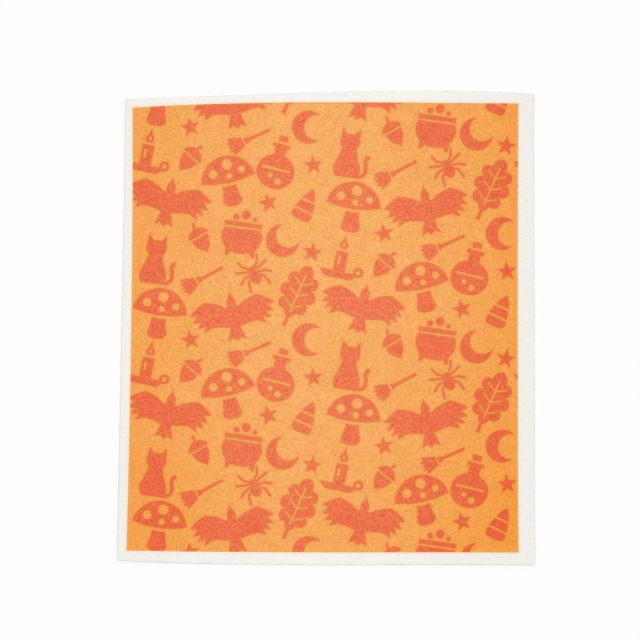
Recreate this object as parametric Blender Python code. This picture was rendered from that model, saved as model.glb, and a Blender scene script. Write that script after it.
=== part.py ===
"""A printed sponge cloth: one sheet of cellulose sponge that lies flat, print side up.

Metres. X runs across the cloth, Y up the print and Z up from the table. The
sheet has dried a little out of square, so its edges bow and its corners curl.
The print is two inks: a ground with a bare border round it, and figures in a
repeat that drops by half from one column to the next.
"""

import math

import bmesh
import bpy
from mathutils import Vector
from mathutils.geometry import delaunay_2d_cdt, interpolate_bezier, intersect_line_line_2d

# The sheet
WIDTH = 0.175
LENGTH = 0.200
THICKNESS = 0.0018
CORNER_RADIUS = 0.0008
EDGE_ROUND = 0.0004

# The bare border round the print, at the middle of each side
BORDER_LEFT = 0.0042
BORDER_RIGHT = 0.0070
BORDER_TOP = 0.0044
BORDER_BOTTOM = 0.0053

# Drying moved the corners, here as (across, up) from a true rectangle, going
# clockwise from the lower left
SHEET_SHIFTS = ((-0.0017, 0.0018), (0.0020, -0.0030), (-0.0003, -0.0008), (0.0002, -0.0002))
PRINT_SHIFTS = ((-0.0019, 0.0008), (0.0008, -0.0023), (0.0001, -0.0004), (0.0002, -0.0001))

# How far the left, top, right and bottom edges are pulled out near their two
# ends, in the same order
SHEET_BOWS = ((0.0001, 0.0001), (0.0011, 0.0045), (0.0001, 0.0001), (0.0002, 0.0025))
PRINT_BOWS = ((-0.0008, -0.0008), (0.0030, 0.0010), (-0.0004, -0.0004), (0.0001, 0.0009))

# The corners curl up from the table, each over the same length
CURL_REACH = 0.048
LIFT_LOWER_LEFT = 0.0016
LIFT_UPPER_LEFT = 0.0032
LIFT_UPPER_RIGHT = 0.0014
LIFT_LOWER_RIGHT = 0.0008

# The repeat of the print, and half the span of each of its figures
REPEAT_WIDTH = 0.082
REPEAT_HEIGHT = 0.090
TOADSTOOL_REACH = 0.0116
CROW_REACH = 0.0180
LEAF_REACH = 0.0138
CAT_REACH = 0.0106
FLASK_REACH = 0.0115
CANDLE_REACH = 0.0098
CAULDRON_REACH = 0.0100
BROOM_REACH = 0.0098
SPIDER_REACH = 0.0074
MOON_REACH = 0.0070
ACORN_REACH = 0.0070
CORN_REACH = 0.0070
STAR_REACH = 0.0042

# How finely the curves are cut
EDGE_STEPS = 12
CORNER_STEPS = 5
ARC_TURN = math.radians(24)
SURFACE_STEP = 0.008
ROUND_HANDLE = 0.55  # how far a Bezier's handles reach to a corner that it rounds
SHARP_ANGLE = math.radians(40)
WELD = 1e-5
MILLIMETRE = 0.001

CELLULOSE, GROUND_INK, FIGURE_INK = range(3)
FINISHES = (
    ("cellulose", (0.896, 0.855, 0.807), 0.92),
    ("ground_ink", (0.930, 0.402, 0.122), 0.85),
    ("figure_ink", (0.823, 0.178, 0.076), 0.85),
)


def arc(start, end, bulge):
    """Points from start to just before end. A bulge above 0 swells to the left of the way."""
    if bulge == 0:
        return [start]
    turn = -4 * math.atan(bulge)
    steps = math.ceil(abs(turn) / ARC_TURN)
    chord = end - start
    radius = chord.length / (2 * math.sin(turn / 2))
    heading = math.atan2(chord.y, chord.x) - turn / 2
    found = []
    for step in range(steps):
        swept = turn * step / steps
        run = 2 * radius * math.sin(swept / 2)
        way = heading + swept / 2
        found.append(start + Vector((run * math.cos(way), run * math.sin(way))))
    return found


def bent(*vertices):
    """An open line through vertices (x, y, bulge of the stretch that follows)."""
    found = []
    for (x, y, bulge), (next_x, next_y, _) in zip(vertices, vertices[1:]):
        found += arc(Vector((x, y)), Vector((next_x, next_y)), bulge)
    return found + [Vector(vertices[-1][:2])]


def closed(*vertices):
    """A closed outline through vertices, clockwise, so that a bulge above 0 swells out."""
    return bent(*vertices, vertices[0])[:-1]


def mirrored(points):
    return [Vector((-point.x, point.y)) for point in reversed(points)]


def both_sides(*right_half):
    """A closed outline from its right half, which runs from the top of the middle to its foot."""
    right = bent(*right_half)
    return right + mirrored(right)[1:-1]


def disc(x, y, half_width, half_height):
    steps = math.ceil(2 * math.pi / ARC_TURN)
    turns = [2 * math.pi * step / steps for step in range(steps)]
    return [Vector((x + half_width * math.cos(a), y + half_height * math.sin(a))) for a in turns]


def discs(*rounds):
    """Round discs from (x, y, radius) each."""
    return [disc(x, y, radius, radius) for x, y, radius in rounds]


def bar(left, right, bottom, top):
    return [Vector(corner) for corner in ((left, bottom), (left, top), (right, top), (right, bottom))]


def strip(line, width):
    """A strip of one width along an open line."""
    sides = ([], [])
    for i, point in enumerate(line):
        way = line[min(i + 1, len(line) - 1)] - line[max(i - 1, 0)]
        across = Vector((-way.y, way.x)).normalized() * (width / 2)
        sides[0].append(point + across)
        sides[1].append(point - across)
    return sides[0] + sides[1][::-1]


# Each figure is drawn with half its span as 1. Its shapes are laid down in turn,
# and each one is inked, or bares the ground again.


def inked(*shapes):
    return [(shape, True) for shape in shapes]


def bared(*shapes):
    return [(shape, False) for shape in shapes]


def toadstool():
    stem = both_sides((0, 0.05, 0), (0.24, 0.05, -0.10), (0.36, -0.80, 0.45), (0, -0.98, 0))
    gap = closed((-0.62, -0.10, 0), (0.62, -0.10, 0.26))
    cap = closed((-1.0, 0, 0.86), (1.0, 0, 0.15))
    spots = discs((-0.50, 0.28, 0.16), (0.06, 0.54, 0.19), (0.56, 0.26, 0.13), (0.06, 0.10, 0.11))
    return inked(stem) + bared(gap) + inked(cap) + bared(*spots)


def crow():
    head = ((0, 0.50, 0), (0.04, 0.38, 0.2), (0.10, 0.28, 0.2), (0.09, 0.14, -0.25))
    wing = ((0.26, 0.22, 0.06), (0.62, 0.34, 0.10), (1.00, 0.10, 0.1))
    feathers = (
        (0.84, 0.05, 0),
        (0.96, -0.10, 0.1),
        (0.78, -0.09, 0),
        (0.87, -0.25, 0.1),
        (0.69, -0.20, 0),
        (0.74, -0.36, 0.1),
        (0.56, -0.28, -0.1),
        (0.32, -0.30, 0.05),
        (0.12, -0.34, 0),
    )
    tail = ((0.22, -0.66, 0), (0.09, -0.60, 0), (0, -0.68, 0))
    return inked(both_sides(*head, *wing, *feathers, *tail))


def leaf():
    lobes = ((0.22, 0.68, 1.1), (0.32, 0.30, 1.2), (0.32, -0.12, 1.0), (0.18, -0.50, 0.2))
    blade = both_sides((0, 1.0, 0.42), *lobes, (0.05, -0.70, 0), (0.06, -1.0, 0), (0, -1.0, 0))
    midrib = strip(bent((0, -0.52, 0), (0, 0.72, 0)), 0.05)
    veins = [strip(bent((0, y, 0), (0.30, y + 0.18, 0)), 0.04) for y in (-0.38, 0, 0.36)]
    return inked(blade) + bared(midrib, *veins, *map(mirrored, veins))


def cat():
    flank = ((0.24, 0.34, -0.06), (0.52, -0.50, 0.22), (0.44, -0.96, 0))
    body = both_sides((0, 0.34, 0), *flank, (0, -0.96, 0))
    ear = closed((0.10, 0.70, 0), (0.35, 1.0, 0), (0.40, 0.48, 0))
    curve = ((0.52, -0.88, -0.45), (0.76, -0.60, -0.12), (0.72, -0.34, 0.40))
    tail = strip(bent((0.20, -0.88, 0), *curve, (0.86, -0.06, 0)), 0.16)
    return inked(body, disc(0, 0.44, 0.40, 0.34), ear, mirrored(ear), tail)


def cauldron():
    belly = ((0.62, 0.34, 0.25), (0.86, -0.12, 0.45), (0, -0.86, 0.45), (-0.86, -0.12, 0.25))
    pot = closed((-0.62, 0.34, 0), *belly)
    foot = closed((0.30, -0.62, 0), (0.66, -0.40, 0), (0.62, -0.98, 0), (0.50, -0.98, 0))
    bubbles = discs((-0.34, 0.66, 0.13), (0.06, 0.80, 0.19), (0.44, 0.64, 0.10))
    neck, rim = bar(-0.70, 0.70, 0.20, 0.28), bar(-0.80, 0.80, 0.28, 0.48)
    return inked(pot, foot, mirrored(foot)) + bared(neck) + inked(rim, *bubbles)


def flask():
    neck, lip, cork = bar(-0.22, 0.22, 0, 0.62), bar(-0.32, 0.32, 0.56, 0.70), bar(-0.17, 0.17, 0.78, 1)
    glass = inked(disc(0, -0.34, 0.70, 0.64), neck, lip, cork)
    bubbles = discs((-0.16, -0.52, 0.09), (0.16, -0.68, 0.12))
    return glass + bared(bar(-0.52, 0.52, -0.28, -0.20), *bubbles)


def candle():
    flame = both_sides((0, 1.0, -0.12), (0.18, 0.56, 0.55), (0, 0.36, 0))
    wax = closed((-0.26, 0.24, 0.08), (0.26, 0.24, 0), (0.26, -0.62, 0), (-0.26, -0.62, 0))
    plate = closed((-0.82, -0.62, 0), (0.82, -0.62, 0.1), (0.56, -0.92, 0), (-0.56, -0.92, 0.1))
    lit = inked(flame, wax) + bared(disc(0, 0.54, 0.05, 0.09), bar(-0.14, -0.04, -0.30, 0.06))
    return lit + inked(plate, *discs((0.84, -0.52, 0.22))) + bared(*discs((0.84, -0.52, 0.10)))


def broom():
    handle = strip(bent((0, 1.0, 0), (0, -0.10, 0)), 0.13)
    twigs = ((0.38, -0.90, 0), (0.25, -0.84, 0), (0.18, -1.0, 0), (0.08, -0.88, 0), (0, -1.0, 0))
    bundle = both_sides((0, -0.04, 0), (0.10, -0.04, 0), (0.15, -0.24, 0.12), *twigs)
    return inked(handle, bundle) + bared(bar(-0.3, 0.3, -0.30, -0.23))


def spider():
    legs = (
        ((0.08, 0.26, 0), (0.46, 0.60, 0), (0.60, 0.98, 0)),
        ((0.08, 0.16, 0), (0.66, 0.34, 0), (0.98, 0.46, 0)),
        ((0.08, 0.06, 0), (0.66, -0.06, 0), (0.98, -0.30, 0)),
        ((0.08, -0.04, 0), (0.50, -0.36, 0), (0.62, -0.92, 0)),
    )
    right = [strip(bent(*leg), 0.14) for leg in legs]
    return inked(disc(0, -0.22, 0.32, 0.40), disc(0, 0.26, 0.22, 0.19), *right, *map(mirrored, right))


def moon():
    return inked(disc(0, 0, 1, 1)) + bared(disc(0.46, 0.18, 0.76, 0.76))


def acorn():
    nut = both_sides((0, 0.06, 0), (0.52, 0.06, 0.24), (0.10, -0.84, 0), (0, -1.0, 0))
    gap = closed((-0.64, 0.10, 0), (0.64, 0.10, 0.10))
    cap = closed((-0.66, 0.16, 0.75), (0.66, 0.16, 0.06))
    stalk = strip(bent((0, 0.58, 0.2), (0.12, 0.98, 0)), 0.16)
    return inked(nut) + bared(gap) + inked(cap, stalk)


def corn():
    side = ((0.14, 0.92, 0.12), (0.62, -0.66, 0.38), (0.40, -0.94, 0.06))
    kernel = both_sides((0, 1, 0.3), *side, (0, -0.96, 0))
    return inked(kernel) + bared(bar(-0.8, 0.8, -0.42, -0.30), bar(-0.8, 0.8, 0.22, 0.34))


def star():
    points, inner = 5, 0.44
    turns = [math.pi * (0.5 - step / points) for step in range(2 * points)]
    reach = [1 if step % 2 == 0 else inner for step in range(2 * points)]
    return inked([Vector((r * math.cos(a), r * math.sin(a))) for r, a in zip(reach, turns)])


# The repeat: figure, its half span, its middle in millimetres across and up, its tilt in degrees
REPEAT = (
    (toadstool, TOADSTOOL_REACH, 14, 12, -8),
    (crow, CROW_REACH, 45, 11.5, 10),
    (leaf, LEAF_REACH, 72, 18.5, -24),
    (broom, BROOM_REACH, 32, 26, -62),
    (spider, SPIDER_REACH, 54, 28, 25),
    (cat, CAT_REACH, 12, 34, -8),
    (acorn, ACORN_REACH, 31, 43, 30),
    (star, STAR_REACH, 78.5, 37, -10),
    (cauldron, CAULDRON_REACH, 49, 45, -8),
    (moon, MOON_REACH, 66, 42, 20),
    (corn, CORN_REACH, 76, 57, -25),
    (crow, CROW_REACH, 18, 60, -12),
    (toadstool, TOADSTOOL_REACH, 43, 68, 12),
    (star, STAR_REACH, 60, 58, 15),
    (flask, FLASK_REACH, 64, 75, -14),
    (acorn, ACORN_REACH, 27, 77, -40),
    (star, STAR_REACH, 79, 74, 5),
    (candle, CANDLE_REACH, 9, 80, -12),
    (star, STAR_REACH, 27, 90, 10),
    (broom, BROOM_REACH, 52, 85, -66),
    (moon, MOON_REACH, 77, 90, -25),
)


def bowed_outline(left, right, bottom, top, shifts, bows, radius):
    """A closed outline, clockwise from its lower left: shifted corners, and edges that bow out."""
    square = ((left, bottom), (left, top), (right, top), (right, bottom))
    corners = [Vector(corner) + Vector(shift) for corner, shift in zip(square, shifts)]
    edges = []
    for start, end, (near, far) in zip(corners, corners[1:] + corners[:1], bows):
        along = (end - start).normalized()
        out = Vector((-along.y, along.x))
        first, last = start + along * radius, end - along * radius
        third = (last - first) / 3
        handles = (first + third + out * near, last - third + out * far)
        edges.append(interpolate_bezier(first, *handles, last, EDGE_STEPS))
    found = []
    for edge, following, corner in zip(edges, edges[1:] + edges[:1], corners[1:] + corners[:1]):
        found += edge[:-1]
        if radius > 0:
            handles = [end.lerp(corner, ROUND_HANDLE) for end in (edge[-1], following[0])]
            found += interpolate_bezier(edge[-1], *handles, following[0], CORNER_STEPS)[:-1]
    return found


def shrunk(outline, distance):
    """The outline moved inwards by one distance, with as many points."""
    found = []
    for before, point, after in zip(outline[-1:] + outline[:-1], outline, outline[1:] + outline[:1]):
        way = after - before
        found.append(point + Vector((way.y, -way.x)).normalized() * distance)
    return found


def box_middle(points):
    across, up = [point.x for point in points], [point.y for point in points]
    return Vector((min(across) + max(across), min(up) + max(up))) / 2


def holds(outline, point):
    """Whether a point lies inside a closed outline."""
    inside = False
    for a, b in zip(outline, outline[1:] + outline[:1]):
        if (a.y > point.y) != (b.y > point.y):
            crossing = a.x + (b.x - a.x) * (point.y - a.y) / (b.y - a.y)
            inside ^= point.x < crossing
    return inside


class Figure:
    """One printed figure, in its place."""

    def __init__(self, draw, reach, place, tilt):
        turn_x = Vector((math.cos(tilt), math.sin(tilt))) * reach
        turn_y = Vector((-turn_x.y, turn_x.x))
        self.shapes = [
            ([place + turn_x * p.x + turn_y * p.y for p in shape], has_ink)
            for shape, has_ink in draw()
        ]
        self.place = place
        self.reach = max((point - place).length for shape, _ in self.shapes for point in shape)

    def inks(self, point):
        """Whether the last of its shapes that holds the point is an inked one."""
        if (point - self.place).length > self.reach:
            return False
        inks = (has_ink for shape, has_ink in reversed(self.shapes) if holds(shape, point))
        return next(inks, False)


def printed_figures(field):
    """The figures of every repeat that reaches into the field."""
    left, right = min(point.x for point in field), max(point.x for point in field)
    bottom, top = min(point.y for point in field), max(point.y for point in field)
    found = []
    for column in range(-1, math.ceil((right - left) / REPEAT_WIDTH) + 1):
        drop = REPEAT_HEIGHT / 2 if column % 2 else 0
        for row in range(-2, math.ceil((top - bottom) / REPEAT_HEIGHT) + 1):
            origin = Vector((left + column * REPEAT_WIDTH, bottom + row * REPEAT_HEIGHT + drop))
            for draw, reach, across, up, tilt in REPEAT:
                place = origin + Vector((across, up)) * MILLIMETRE
                figure = Figure(draw, reach, place, math.radians(tilt))
                if any(holds(field, point) for shape, _ in figure.shapes for point in shape):
                    found.append(figure)
    return found


def clipped(start, end, field):
    """The stretch of a line that lies inside the field, or None."""
    start_in, end_in = holds(field, start), holds(field, end)
    if start_in and end_in:
        return start, end
    if start_in == end_in:
        return None
    for a, b in zip(field, field[1:] + field[:1]):
        crossing = intersect_line_line_2d(start, end, a, b)
        if crossing:
            return (start, crossing) if start_in else (crossing, end)
    return None


def lift(point, reach):
    """How far the sheet has curled up at a point, for a sheet that reaches this far from its middle."""
    found = 0.0
    for side, end, height in (
        (-1, -1, LIFT_LOWER_LEFT),
        (-1, 1, LIFT_UPPER_LEFT),
        (1, 1, LIFT_UPPER_RIGHT),
        (1, -1, LIFT_LOWER_RIGHT),
    ):
        from_corner = (reach.x - side * point.x + reach.y - end * point.y) / math.sqrt(2)
        found += height * max(0.0, 1 - from_corner / CURL_REACH) ** 2
    return found


def filled(ring, lines, spots):
    """Triangles that fill a ring, with the lines as edges: their points, corners, middles and ring."""
    points = list(ring)
    edges = [(i, (i + 1) % len(ring)) for i in range(len(ring))]
    for start, end in lines:
        edges.append((len(points), len(points) + 1))
        points += [start, end]
    points += spots
    found, _, faces, sources, _, _ = delaunay_2d_cdt(points, edges, [], 0, WELD, True)
    place_of = {source: i for i, group in enumerate(sources) for source in group}
    middles = [sum((found[i] for i in corners), Vector((0, 0))) / len(corners) for corners in faces]
    triangles = [(corners, middle) for corners, middle in zip(faces, middles) if holds(ring, middle)]
    return found, triangles, [place_of[i] for i in range(len(ring))]


def surface_spots(ring):
    """Evenly spaced points inside the ring, for the curl to bend at."""
    left, right = min(point.x for point in ring), max(point.x for point in ring)
    bottom, top = min(point.y for point in ring), max(point.y for point in ring)
    columns, rows = round((right - left) / SURFACE_STEP), round((top - bottom) / SURFACE_STEP)
    inner = shrunk(ring, SURFACE_STEP / 2)
    spots = [
        Vector((left + (right - left) * column / columns, bottom + (top - bottom) * row / rows))
        for column in range(1, columns)
        for row in range(1, rows)
    ]
    return [spot for spot in spots if holds(inner, spot)]


def build_cloth():
    half_width, half_length = WIDTH / 2, LENGTH / 2
    outline = bowed_outline(
        -half_width, half_width, -half_length, half_length, SHEET_SHIFTS, SHEET_BOWS, CORNER_RADIUS
    )
    field = bowed_outline(
        BORDER_LEFT - half_width,
        half_width - BORDER_RIGHT,
        BORDER_BOTTOM - half_length,
        half_length - BORDER_TOP,
        PRINT_SHIFTS,
        PRINT_BOWS,
        0,
    )
    middle = box_middle(outline)
    outline = [point - middle for point in outline]
    field = [point - middle for point in field]
    reach = Vector((max(point.x for point in outline), max(point.y for point in outline)))
    ring = shrunk(outline, EDGE_ROUND)
    figures = printed_figures(field)
    lines = list(zip(field, field[1:] + field[:1]))
    for shape in (shape for figure in figures for shape, _ in figure.shapes):
        cut = [clipped(start, end, field) for start, end in zip(shape, shape[1:] + shape[:1])]
        lines += [line for line in cut if line]
    spots = surface_spots(ring)

    mesh = bmesh.new()

    def raised(point, height):
        return mesh.verts.new((point.x, point.y, height + lift(point, reach)))

    points, triangles, rim = filled(ring, lines, spots)
    top = [raised(point, THICKNESS) for point in points]
    for corners, middle in triangles:
        face = mesh.faces.new([top[i] for i in corners])
        if holds(field, middle):
            on_figure = any(figure.inks(middle) for figure in figures)
            face.material_index = FIGURE_INK if on_figure else GROUND_INK
    points, triangles, low_rim = filled(ring, [], spots)
    bottom = [raised(point, 0) for point in points]
    for corners, _ in triangles:
        mesh.faces.new([bottom[i] for i in reversed(corners)])
    upper = [raised(point, THICKNESS - EDGE_ROUND) for point in outline]
    lower = [raised(point, EDGE_ROUND) for point in outline]
    loops = ([top[i] for i in rim], upper, lower, [bottom[i] for i in low_rim])
    for above, below in zip(loops, loops[1:]):
        for i in range(len(ring)):
            following = (i + 1) % len(ring)
            mesh.faces.new((above[i], above[following], below[following], below[i]))
    bmesh.ops.recalc_face_normals(mesh, faces=mesh.faces)
    data = bpy.data.meshes.new("sponge_cloth")
    mesh.to_mesh(data)
    mesh.free()
    return data


def finish(name, colour, roughness):
    material = bpy.data.materials.new(name)
    material.use_nodes = True
    shader = material.node_tree.nodes["Principled BSDF"]
    shader.inputs["Base Color"].default_value = (*colour, 1)
    shader.inputs["Roughness"].default_value = roughness
    shader.inputs["Metallic"].default_value = 0
    return material


def main():
    for old in list(bpy.data.objects):
        bpy.data.objects.remove(old, do_unlink=True)
    data = build_cloth()
    for name, colour, roughness in FINISHES:
        data.materials.append(finish(name, colour, roughness))
    data.shade_smooth()
    data.set_sharp_from_angle(angle=SHARP_ANGLE)
    bpy.context.scene.collection.objects.link(bpy.data.objects.new("sponge_cloth", data))


main()
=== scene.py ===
"""The looks of a printed sponge cloth that lies flat on a pale table.

Metres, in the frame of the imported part: X across the cloth, Y up the print and
Z up from the table. The cloth is one sheet, drawn here more finely than the
part: its cut edge is rounded and a little ragged, its face has the low relief
of a dried sponge, and its two inks creep slightly into the pores.
"""

from __future__ import annotations

import logging
import math
from collections.abc import Iterable, Sequence
from dataclasses import dataclass, field
from enum import Enum, auto
from functools import cached_property

import bpy
import numpy as np
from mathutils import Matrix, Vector, noise
from mathutils.geometry import delaunay_2d_cdt, interpolate_bezier, intersect_line_line_2d
from mathutils.kdtree import KDTree


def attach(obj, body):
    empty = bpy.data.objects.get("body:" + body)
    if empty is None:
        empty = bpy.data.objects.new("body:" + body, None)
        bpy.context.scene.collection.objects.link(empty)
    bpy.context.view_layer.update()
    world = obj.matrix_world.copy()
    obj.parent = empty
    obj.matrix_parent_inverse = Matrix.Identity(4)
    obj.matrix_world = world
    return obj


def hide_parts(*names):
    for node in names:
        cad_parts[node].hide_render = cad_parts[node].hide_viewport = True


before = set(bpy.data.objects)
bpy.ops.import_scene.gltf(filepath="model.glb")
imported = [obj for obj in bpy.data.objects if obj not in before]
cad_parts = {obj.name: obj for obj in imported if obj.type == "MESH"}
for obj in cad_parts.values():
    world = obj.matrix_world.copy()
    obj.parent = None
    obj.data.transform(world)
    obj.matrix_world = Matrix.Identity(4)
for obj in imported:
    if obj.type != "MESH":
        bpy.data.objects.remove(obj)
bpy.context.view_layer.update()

LOG = logging.getLogger("sponge_cloth")
MILLIMETRE = 0.001

Colour = tuple[float, float, float]
Outline = list[Vector]
# Flat points, one (x, y) row each
Rows = np.ndarray
# Where a range starts and ends, and what its two ends become
Ramp = tuple[float, float, float, float]
Socket = bpy.types.NodeSocket

# Two layers of the noise that have nothing in common
NOISE_LAYERS = (0.37, 7.91)


def ragged(point: Vector, reach: float, amount: float) -> Vector:
    """Moves a flat point by a soft noise, so that neighbours move alike.

    Args:
        point: The point in metres.
        reach: How far apart two points move independently, in metres.
        amount: The furthest that a point moves, in metres.

    Returns:
        The moved point.
    """
    x, y = point / reach
    push = [noise.noise(Vector((x, y, layer))) for layer in NOISE_LAYERS]
    return point + Vector(push) * amount


def pairs(ring: Sequence) -> list[tuple]:
    """Each item of a ring with the one that follows it."""
    return list(zip(ring, [*ring[1:], *ring[:1]]))


def inside(outline: Rows, points: Rows) -> np.ndarray:
    """Tells which points lie inside a closed outline.

    Args:
        outline: Its corners in order.
        points: The points to place.

    Returns:
        True for each point that is inside.
    """
    found = np.zeros(len(points), bool)
    x, y = points[:, 0], points[:, 1]
    for (ax, ay), (bx, by) in pairs(outline):
        if ay == by:
            continue
        spans = (ay > y) != (by > y)
        found[spans] ^= x[spans] < ax + (bx - ax) * (y[spans] - ay) / (by - ay)
    return found


def flat(points: Iterable[Vector]) -> Rows:
    """The points as rows."""
    return np.array([(point.x, point.y) for point in points])


# The motifs of the print


class Layer:
    """One flat shape of a motif, drawn with half the motif's span as 1."""

    TURN = math.radians(9)

    def outline(self) -> Outline:
        """The shape's closed outline; each kind of layer draws its own."""
        raise NotImplementedError

    @classmethod
    def arc(cls, start: Vector, end: Vector, bulge: float) -> Outline:
        """Draws one stretch of an outline.

        Args:
            start: Where the stretch starts.
            end: Where it ends.
            bulge: Its swell to the left of the way, as a share of half its chord.

        Returns:
            The points from start to just before end.
        """
        if bulge == 0:
            return [start]
        turn = -4 * math.atan(bulge)
        steps = math.ceil(abs(turn) / cls.TURN)
        chord = end - start
        radius = chord.length / (2 * math.sin(turn / 2))
        heading = math.atan2(chord.y, chord.x) - turn / 2
        found = []
        for step in range(steps):
            swept = turn * step / steps
            run = 2 * radius * math.sin(swept / 2)
            way = heading + swept / 2
            found.append(start + Vector((run * math.cos(way), run * math.sin(way))))
        return found

    @classmethod
    def line(cls, vertices: Sequence[tuple[float, float, float]]) -> Outline:
        """Draws an open line.

        Args:
            vertices: Each vertex as (x, y, bulge of the stretch that follows).

        Returns:
            The line's points, its last vertex among them.
        """
        found: Outline = []
        for (x, y, bulge), (next_x, next_y, _) in zip(vertices, vertices[1:]):
            found += cls.arc(Vector((x, y)), Vector((next_x, next_y)), bulge)
        return found + [Vector(vertices[-1][:2])]


@dataclass(frozen=True)
class Patch(Layer):
    """A closed shape through (x, y, bulge) vertices, clockwise."""

    vertices: tuple[tuple[float, float, float], ...]

    def outline(self) -> Outline:
        """The patch's outline."""
        return self.line((*self.vertices, self.vertices[0]))[:-1]


@dataclass(frozen=True)
class Halves(Layer):
    """A symmetrical shape, given by its right half from the top of the middle to its foot."""

    vertices: tuple[tuple[float, float, float], ...]

    def outline(self) -> Outline:
        """The outline of both halves."""
        right = self.line(self.vertices)
        return right + [Vector((-p.x, p.y)) for p in reversed(right)][1:-1]


@dataclass(frozen=True)
class Disc(Layer):
    """A round or oval spot."""

    x: float
    y: float
    half_width: float
    half_height: float

    def outline(self) -> Outline:
        """Draws the oval.

        Returns:
            Its outline.
        """
        steps = math.ceil(2 * math.pi / self.TURN)
        turns = [2 * math.pi * step / steps for step in range(steps)]
        xs = [self.x + self.half_width * math.cos(turn) for turn in turns]
        ys = [self.y + self.half_height * math.sin(turn) for turn in turns]
        return [Vector(place) for place in zip(xs, ys)]


@dataclass(frozen=True)
class Bar(Layer):
    """An upright rectangle."""

    left: float
    right: float
    bottom: float
    top: float

    def outline(self) -> Outline:
        """Draws the rectangle.

        Returns:
            Its four corners.
        """
        xs = (self.left, self.left, self.right, self.right)
        ys = (self.bottom, self.top, self.top, self.bottom)
        return [Vector(corner) for corner in zip(xs, ys)]


@dataclass(frozen=True)
class Strip(Layer):
    """A line of one width."""

    vertices: tuple[tuple[float, float, float], ...]
    width: float

    def outline(self) -> Outline:
        """Draws the strip.

        Returns:
            Its outline, up one side and back down the other.
        """
        line = self.line(self.vertices)
        sides: tuple[Outline, Outline] = ([], [])
        for i, point in enumerate(line):
            way = line[min(i + 1, len(line) - 1)] - line[max(i - 1, 0)]
            across = Vector((-way.y, way.x)).normalized() * (self.width / 2)
            sides[0].append(point + across)
            sides[1].append(point - across)
        return sides[0] + sides[1][::-1]


@dataclass(frozen=True)
class Star(Layer):
    """A star with its first point upwards."""

    points: int
    inner: float

    def outline(self) -> Outline:
        """Draws the star.

        Returns:
            Its points and the notches between them.
        """
        turns = [math.pi * (0.5 - step / self.points) for step in range(2 * self.points)]
        reach = [self.inner if step % 2 else 1.0 for step in range(2 * self.points)]
        return [Vector((r * math.cos(a), r * math.sin(a))) for r, a in zip(reach, turns)]


class Mark(Enum):
    """What a layer does to the layers under it, and on which sides."""

    INK = auto()
    INK_TWICE = auto()
    BARE = auto()
    BARE_TWICE = auto()

    @property
    def inks(self) -> bool:
        """Whether the layer carries ink."""
        return self in (Mark.INK, Mark.INK_TWICE)

    @property
    def twice(self) -> bool:
        """Whether the layer is laid down again, mirrored."""
        return self in (Mark.INK_TWICE, Mark.BARE_TWICE)


INK, INK_TWICE, BARE, BARE_TWICE = Mark


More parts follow.
